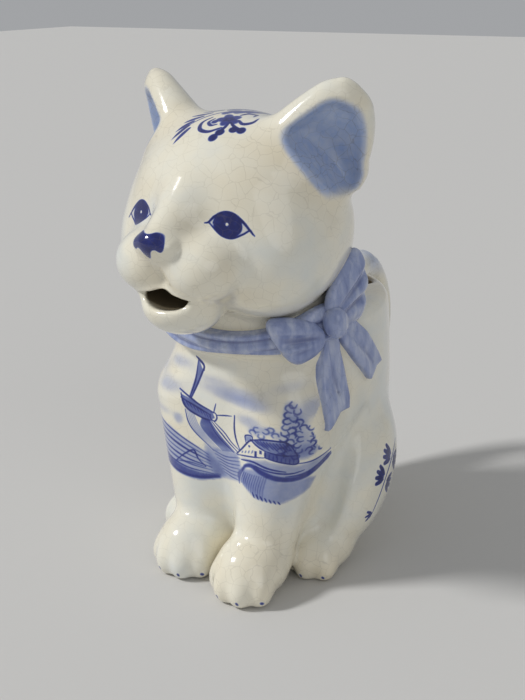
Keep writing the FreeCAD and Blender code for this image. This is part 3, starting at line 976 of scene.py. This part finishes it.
def thigh_painting(p):
    """A curved stem with leaf drops on the side of each thigh."""
    chart = np.stack([p[:, 1] - HAUNCH[1] + 4, p[:, 2] - HAUNCH[2]], 1)
    s = Painting(chart, (np.abs(p[:, 0]) > 27) & (p[:, 2] < RIM_Z))
    s.stroke([(13.4, 9.6), (8.6, 5.6), (3.8, 0.6), (0, -5.4), (-2.6, -11)], 0.5, 0.9)
    for foot, angle in (((8.6, 5.6), 150), ((3.8, 0.6), 150), ((3, -1), -20), ((8, 5), -25)):
        for k in range(4):
            a = math.radians(angle - 33 + 22 * k)
            far = (foot[0] + 5.0 * math.cos(a), foot[1] + 5.0 * math.sin(a))
            s.leaf((foot[0] + 1.2 * math.cos(a), foot[1] + 1.2 * math.sin(a)), far, 1.5, 0.95)
    for k in range(3):
        a = math.radians(150 + 35 * k)
        s.leaf((-2, -9.4), (-2.0 + 2.8 * math.cos(a), -9.4 + 2.8 * math.sin(a)), 0.9, 0.9)
    return s


def claw_spots():
    for paw in PAWS.values():
        for _, x, y in fan(paw, (11.6, 13.0), FRONT_TOES):
            yield x, y, 2.6
    for _, x, y in fan(HIND_PAW, (9.6, 12.9), HIND_TOES):
        yield x, y, 2.2
        yield -x, y, 2.2


def painted(p):
    """Ink at the points, and distance to the nearest crisp edge of it."""
    ink, edge = np.zeros(len(p)), np.full(len(p), 9.0)
    for make in (chest_painting, face_painting, nose_painting, crown_painting, thigh_painting):
        part = make(p)
        ink = 1 - (1 - ink) * (1 - part.ink)
        edge = np.minimum(edge, part.edge)
    for spot in claw_spots():
        gap = np.linalg.norm((p - np.array(spot, np.float32)) / (1.0, 2.4, 1.5), axis=1) - 0.42
        ink = np.maximum(ink, 0.9 * (1 - step(gap, -0.2, 0.2)))
        edge = np.minimum(edge, np.abs(gap))
    return ink, edge


def ear_tint(p):
    m = mirrored(p)
    return (1 - step(ear_cup(m), 0.1, 1.5)) * step(m[:, 2], SKULL[2] + 5, SKULL[2] + 9)


def tail_tint(p):
    arch = step(p[:, 1], TAIL_HIGH[1] - 26, TAIL_HIGH[1] - 16)
    return 0.8 * arch * step(p[:, 2], RIM_Z - 9, RIM_Z + 1)


def creases(field, p, h=1.0):
    """1 in a fold of the surface, 0 where it is flat or bulges; it sets where shade is painted."""
    around = sum(in_chunks(field, p + k * np.float32(h)) for k in CORNERS) / 4
    return step(in_chunks(field, p) - around, 0.02, 0.38 * h)


# ---- materials
def put(tree, kind, inputs=None, **settings):
    """A shader node with its inputs set to values or joined to other nodes' outputs."""
    node = tree.nodes.new("ShaderNode" + kind)
    for key, value in settings.items():
        setattr(node, key, value)
    for key, value in (inputs or {}).items():
        if isinstance(value, bpy.types.NodeSocket):
            tree.links.new(value, node.inputs[key])
        else:
            node.inputs[key].default_value = value
    return node


def blend_colour(tree, share, a, b):
    values = {0: share, 6: a, 7: b}
    return put(tree, "Mix", values, data_type="RGBA").outputs[2]


def plus(tree, a, b, clamp=False):
    return put(tree, "Math", {0: a, 1: b}, operation="ADD", use_clamp=clamp).outputs[0]


def times(tree, a, b, clamp=False):
    return put(tree, "Math", {0: a, 1: b}, operation="MULTIPLY", use_clamp=clamp).outputs[0]


def minus(tree, a, b):
    return put(tree, "Math", {0: a, 1: b}, operation="SUBTRACT").outputs[0]


def noise(tree, vector, scale, detail, rough=0.5):
    return put(tree, "TexNoise", {"Vector": vector, "Scale": scale, "Detail": detail, "Roughness": rough})


def ramp(tree, value, stops):
    node = put(tree, "ValToRGB", {0: value})
    elements = node.color_ramp.elements
    while len(elements) < len(stops):
        elements.new(0.5)
    for element, (position, colour) in zip(elements, stops):
        element.position = position
        element.color = colour
    return node.outputs[0]


def attribute(tree, name):
    return put(tree, "Attribute", attribute_name=name).outputs["Fac"]


def srgb(*levels):
    """A colour given as 0 to 255 screen levels."""
    linear = [v / 255 / 12.92 if v < 10.3 else ((v / 255 + 0.055) / 1.055) ** 2.4 for v in levels]
    return (*linear, 1.0)


IVORY = srgb(236, 231, 213)
IVORY_WARM = srgb(231, 221, 196)
IVORY_COOL = srgb(222, 224, 218)
BISQUE = srgb(196, 176, 146)
# painted shade for the inner walls of the hollow
INSIDE_SHADE = srgb(112, 100, 78)
COBALT = [(0.0, IVORY), (0.2, srgb(184, 188, 202)), (0.36, srgb(138, 150, 190)), (0.56, srgb(84, 98, 158)),
          (0.8, srgb(33, 48, 134)), (1.0, srgb(15, 25, 94))]
BLACK, WHITE = (0, 0, 0, 1), (1, 1, 1, 1)


def glaze_base(name):
    """A material's tree, millimetre coordinates, and maps of crackle lines and of cloudy patches."""
    material = bpy.data.materials.new(name)
    material.use_nodes = True
    tree = material.node_tree
    tree.nodes.clear()
    metres = put(tree, "TexCoord").outputs["Object"]
    mm = put(tree, "VectorMath", {0: metres, 1: (1 / MM,) * 3}, operation="MULTIPLY").outputs[0]
    bend = noise(tree, mm, 0.35, 2.0).outputs["Color"]
    moved = put(tree, "VectorMath", {0: bend, 3: 1.6}, operation="SCALE").outputs[0]
    bent = put(tree, "VectorMath", {0: mm, 1: moved}, operation="ADD").outputs[0]
    spread = {"Vector": bent, "Scale": 0.30, "Randomness": 1.0}
    cells = put(tree, "TexVoronoi", spread, feature="DISTANCE_TO_EDGE")
    lines = ramp(tree, cells.outputs["Distance"], [(0.0, WHITE), (0.035, BLACK)])
    patches = noise(tree, mm, 0.045, 3.0).outputs["Fac"]
    lines = times(tree, lines, ramp(tree, patches, [(0.35, (0.15, 0.15, 0.15, 1)), (0.62, WHITE)]))
    return material, tree, mm, lines, patches


def finish_glaze(tree, mm, colour, lines, rough):
    """Glossy glaze: a slight orange-peel surface under a clear coat."""
    peel = noise(tree, mm, 0.22, 2.0, 0.45).outputs["Fac"]
    grain = noise(tree, mm, 2.6, 2.0).outputs["Fac"]
    height = plus(tree, times(tree, peel, 0.16), times(tree, grain, 0.006))
    height = minus(tree, height, times(tree, lines, 0.012))
    bump = put(tree, "Bump", {"Strength": 0.35, "Distance": MM, "Height": height}).outputs[0]
    uneven = plus(tree, rough, times(tree, minus(tree, grain, 0.5), 0.12), True)
    shader = put(tree, "BsdfPrincipled", {
        "Base Color": colour, "Roughness": uneven, "Normal": bump, "IOR": 1.5,
        "Coat Weight": 0.6, "Coat Roughness": 0.06, "Coat IOR": 1.5})
    out = put(tree, "OutputMaterial")
    tree.links.new(shader.outputs[0], out.inputs[0])
    return shader


def cream_glaze():
    """Ivory glaze with cobalt under it, painted shade in folds and inside, and bare clay on the foot."""
    material, tree, mm, lines, patches = glaze_base("cream_glaze")
    fine = noise(tree, mm, 0.4, 4.0, 0.6).outputs["Fac"]
    ivory = ramp(tree, patches, [(0.32, IVORY_COOL), (0.5, IVORY), (0.72, IVORY_WARM)])
    # painted shade: the ivory darkened where the surface folds
    ivory = blend_colour(tree, times(tree, attribute(tree, "crease"), 0.30), ivory, srgb(196, 187, 164))
    brushed = plus(tree, 0.80, times(tree, fine, 0.4))
    ink = times(tree, attribute(tree, "ink"), brushed, True)
    inked = ramp(tree, ink, COBALT)
    colour = blend_colour(tree, ramp(tree, ink, [(0.0, BLACK), (0.16, WHITE)]), ivory, inked)
    watery = plus(tree, 0.62, times(tree, fine, 0.55))
    tint = times(tree, attribute(tree, "tint"), watery, True)
    colour = blend_colour(tree, tint, colour, srgb(150, 170, 210))
    marks = times(tree, lines, plus(tree, 0.20, times(tree, tint, 0.3)))
    colour = blend_colour(tree, marks, colour, srgb(120, 112, 100))
    # painted shade: the inner walls darkened
    colour = blend_colour(tree, attribute(tree, "inside"), colour, INSIDE_SHADE)
    height = put(tree, "SeparateXYZ", {0: mm}).outputs[2]
    foot = ramp(tree, plus(tree, height, times(tree, fine, 0.3)), [(0.28, WHITE), (0.42, BLACK)])
    colour = blend_colour(tree, foot, colour, BISQUE)
    rough = plus(tree, 0.13, times(tree, foot, 0.7))
    shader = finish_glaze(tree, mm, colour, lines, rough)
    tree.links.new(times(tree, minus(tree, 1.0, foot), 0.6), shader.inputs["Coat Weight"])
    return material


def blue_glaze():
    """The ribbon: a pale wash of cobalt, with painted shade darkening its folds."""
    material, tree, mm, lines, _ = glaze_base("blue_glaze")
    streak = put(tree, "Mapping", {"Vector": mm, "Scale": (0.9, 0.9, 0.22)}).outputs[0]
    wash = noise(tree, streak, 0.35, 3.0, 0.55).outputs["Fac"]
    blues = [(0.30, srgb(118, 132, 178)), (0.5, srgb(148, 160, 198)), (0.72, srgb(186, 194, 216))]
    pale = ramp(tree, wash, blues)
    fold_shade_strength = plus(tree, 0.55, times(tree, wash, 0.6))
    # painted shade: dark blue laid into the folds
    crease = times(tree, attribute(tree, "crease"), fold_shade_strength, True)
    colour = blend_colour(tree, crease, pale, srgb(58, 70, 124))
    colour = blend_colour(tree, times(tree, lines, 0.2), colour, srgb(60, 62, 84))
    finish_glaze(tree, mm, colour, lines, 0.14)
    return material


# ---- building the pieces
def read(items, name, kind, width=1):
    """One value, or a row of values, from each vertex, loop or polygon."""
    values = np.empty(len(items) * width, kind)
    items.foreach_get(name, values)
    return values.reshape(-1, width) if width > 1 else values


def dress(mesh, field, extra):
    """Smooth normals from the field where the mesh lies on it, and the painting's values at each point."""
    points = read(mesh.vertices, "co", np.float32, 3) / np.float32(MM)
    g = slope(field, points)
    g /= np.maximum(np.linalg.norm(g, axis=1), 1e-9)[:, None]
    on_skin = np.abs(in_chunks(field, points)) < 0.15
    corner = read(mesh.loops, "vertex_index", np.int32)
    starts = read(mesh.polygons, "loop_start", np.int32)
    sizes = read(mesh.polygons, "loop_total", np.int32)
    flat = read(mesh.polygons, "normal", np.float32, 3)
    owner = np.repeat(np.arange(len(sizes)), sizes)
    facing = np.add.reduceat(g[corner], starts) / sizes[:, None]
    smooth = ((facing * flat).sum(1) > 0.6) & (np.add.reduceat(on_skin[corner].astype(int), starts) == sizes)
    normals = np.where(smooth[owner][:, None], g[corner], flat[owner])
    mesh.polygons.foreach_set("use_smooth", np.ones(len(sizes), bool))
    mesh.normals_split_custom_set(normals.tolist())
    for name, values in extra(points).items():
        layer = mesh.attributes.new(name, "FLOAT", "POINT")
        layer.data.foreach_set("value", values.astype(np.float32))
    return mesh


def skin_values(p):
    return {
        "ink": painted(p)[0],
        "tint": np.maximum(ear_tint(p), tail_tint(p)),
        # where shade is painted in the folds
        "crease": creases(skin_field, p),
        # where shade is painted on the inner walls
        "inside": 1 - step(np.abs(hollow_field(p)), 0.3, 1.2),
    }


def add_piece(node, mesh, material):
    obj = place(node + "_glazed", mesh)
    mesh.materials.clear()
    mesh.materials.append(material)
    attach(obj, "root")
    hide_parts(node)
    return obj


def fine_near_ink(longest):
    """Picks the edges that pass close to a crisp edge of the painting."""
    def wanted(a, b):
        length = np.linalg.norm(a - b, axis=1)
        pick = length > longest
        rows = np.nonzero(pick)[0]
        middle = ((a[rows] + b[rows]) / 2).astype(np.float32)
        _, edge = painted(middle)
        pick[rows] = edge < length[rows] * 0.62 + 0.1
        return pick
    return wanted


def skin_mesh():
    low, high = (np.array(corner) / MM for corner in CAD_BOX)
    points, faces = surface(skin_field, low - 5, high + 5, GRID)
    for longest in (((0.5, 0.26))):
        points, fresh, faces = refine(points, faces, fine_near_ink(longest))
        points = np.concatenate([points, settle(skin_field, fresh.astype(np.float32), 0.3, 1)])
    return make_mesh("skin", points, faces)


def limb_tool(field, side):
    """The limb made fatter, outside the vessel's wall and on its own side of the middle."""
    sign = 1 if side == "left" else -1
    middle = sum(PAWS.values())[0] / 2 if field is front_paw else 0.0

    def shape(p):
        d = field(p, side) if field in (front_paw, front_leg) else field(mirrored(p))
        d = np.maximum(d - GROW, -SEAM_DEPTH - vessel_wall(p))
        return np.maximum(d, (middle - p[:, 0]) * sign)
    return tool_from(shape, (-42, -36, -3), (42, 46, 76))


def jaw_shape(p):
    return np.maximum(chin_field(p) - GROW, 0.3 - muzzle_field(p))


def tail_shape(p):
    return np.maximum(tail_field(p) - 1.0, -SEAM_DEPTH - vessel_wall(p))


def build_cat():
    """Cuts the skin at the ribbon, then takes the ears and jaw off the head and the limbs off the body."""
    cream = cream_glaze()
    head, rest = split(skin_mesh(), collar_tool(COLLAR_HALF))
    neck, body = split(rest, collar_tool(-COLLAR_HALF))
    parts = {"neck": neck}
    for side, sign in (("left", 1), ("right", -1)):
        parts[side + "_ear"], head = split(head, ear_tool(sign))
    jaw = tool_from(jaw_shape, SKULL + (-18, -45, -36), SKULL + (18, -5, -6))
    parts["lower_jaw"], head = split(head, jaw)
    for field in (front_paw, hind_paw, front_leg, haunch):
        for side in ("left", "right"):
            parts[side + "_" + field.__name__], body = split(body, limb_tool(field, side))
    tail = tool_from(tail_shape, (-16, AXIS_Y + 20, 0), (16, TAIL_HIGH[1] + 4, RIM_Z + 8))
    parts["tail_handle"], body = split(body, tail)
    parts["head"], parts["jug_body"] = head, body
    for node, mesh in parts.items():
        add_piece(node, dress(mesh, skin_field, skin_values), cream)


def build_ribbon():
    blue = blue_glaze()
    for node, field in CLOTH.items():
        low, high = box_mm(node)
        mesh = make_mesh(node, *surface(field, low - 4, high + 4, FINE_GRID))
        # the folds' values set where shade is painted on the ribbon
        add_piece(node, dress(mesh, field, lambda p: {"crease": creases(field, p, 0.7)}), blue)


build_cat()
build_ribbon()


# ---- studio
TABLE_HALF = 2500.0     # mm


def plain(name, colour, rough):
    material = bpy.data.materials.new(name)
    material.use_nodes = True
    shader = material.node_tree.nodes["Principled BSDF"]
    shader.inputs["Base Color"].default_value = colour
    shader.inputs["Roughness"].default_value = rough
    return material


def soft_sun(name, towards, width, power):
    """A distant lamp in the given direction, as wide in the sky as the given degrees."""
    lamp = bpy.data.lights.new(name, "SUN")
    lamp.angle, lamp.energy = math.radians(width), power
    obj = place(name, lamp)
    obj.rotation_euler = Vector(towards).to_track_quat("Z", "Y").to_euler()


def studio():
    corners = TABLE_HALF * np.array([(-1, -1, 0), (1, -1, 0), (1, 1, 0), (-1, 1, 0)])
    floor = place("floor", make_mesh("floor", corners, np.array([(0, 1, 2), (0, 2, 3)])))
    floor.data.materials.append(plain("floor", (0.62, 0.61, 0.59, 1), 0.8))
    world = bpy.data.worlds.new("studio")
    world.use_nodes = True
    world.node_tree.nodes["Background"].inputs[0].default_value = (0.90, 0.92, 0.95, 1)
    world.node_tree.nodes["Background"].inputs[1].default_value = 0.40
    scene = bpy.context.scene
    scene.world = world
    scene.view_settings.view_transform = "Standard"
    soft_sun("key", (-420, -360, 520), 9, 2.0)
    soft_sun("fill", (520, -300, 300), 40, 0.25)


def photo_camera():
    """The photograph's viewpoint: azimuth and pitch of the line of sight, and a slight roll."""
    azimuth, pitch, roll = (math.radians(a) for a in (34.6, 19.9, 0.8))
    level = math.cos(pitch)
    sight = Vector((-math.sin(azimuth) * level, math.cos(azimuth) * level, -math.sin(pitch)))
    data = bpy.data.cameras.new("camera")
    data.lens, data.sensor_width, data.clip_start = 54, 36, 0.01
    camera = place("camera", data)
    camera.location = Vector((170.3, -238.2, 173.6)) * MM
    camera.rotation_mode = "QUATERNION"
    camera.rotation_quaternion = sight.to_track_quat("-Z", "Y") @ Quaternion((0, 0, 1), -roll)
    bpy.context.scene.camera = camera


studio()
photo_camera()
